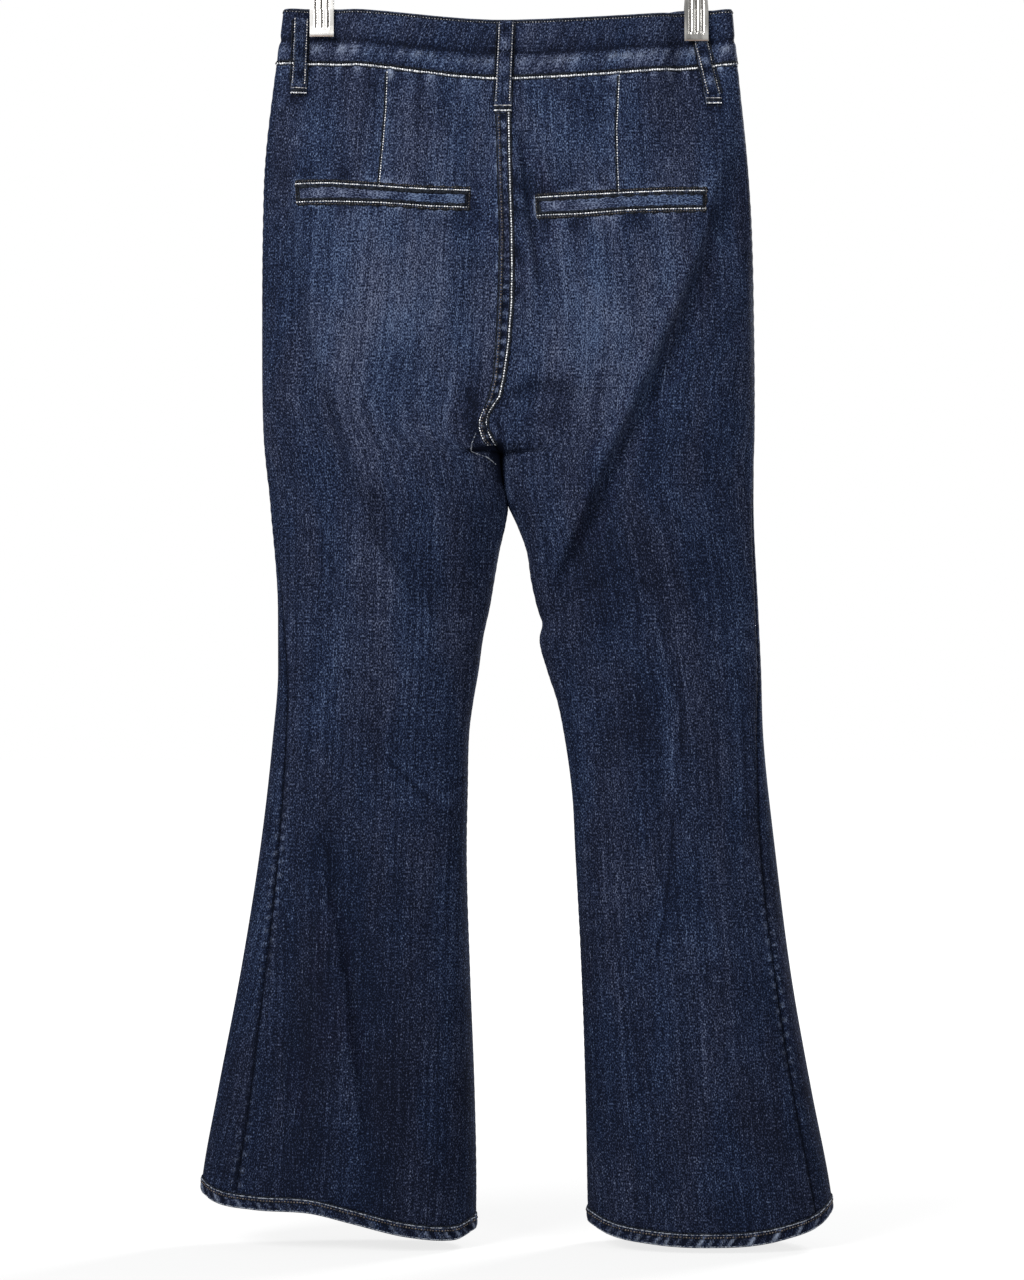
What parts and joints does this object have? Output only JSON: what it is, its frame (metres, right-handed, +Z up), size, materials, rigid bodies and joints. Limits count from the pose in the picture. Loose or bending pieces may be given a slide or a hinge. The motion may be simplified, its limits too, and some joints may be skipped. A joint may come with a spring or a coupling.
{
  "type": "flared jeans on a clip hanger",
  "caption": "High-waisted flared denim jeans with belt loops and welt back pockets, hung by the waistband from a two-clip trouser hanger",
  "frame": {"origin": "inside of the crown of the hanger's hook, where a rail carries it", "axes": "+Z up, the jeans' front faces +Y and their back -Y, the wearer's left leg is at -X"},
  "size_m": [0.5563, 0.0934, 1.1912],
  "materials": {
    "denim": "dark indigo stretch denim, lightly faded on the seat and thighs",
    "steel": "bright plated steel wire and pressed sheet",
    "button_metal": "dull antiqued shank button"
  },
  "bodies": {
    "root": {"back_left_upper": "denim", "back_left_middle": "denim", "back_left_lower": "denim", "front_left_upper": "denim", "front_left_middle": "denim", "front_left_lower": "denim", "back_right_upper": "denim", "back_right_lower": "denim", "front_right_upper": "denim", "front_right_lower": "denim", "waistband": "denim", "hem_left": "denim", "hem_right": "denim", "belt_loop_back": "denim", "belt_loop_back_left": "denim", "belt_loop_back_right": "denim", "belt_loop_front_left": "denim", "belt_loop_front_right": "denim", "welt_left": "denim", "welt_right": "denim", "fly": "denim", "button": "button_metal", "hanger_bar": "steel", "hanger_hook": "steel", "clip_left_back": "steel", "clip_left_front": "steel", "clip_left_spring": "steel", "clip_right_back": "steel", "clip_right_front": "steel", "clip_right_spring": "steel"}
  },
  "joints": []
}
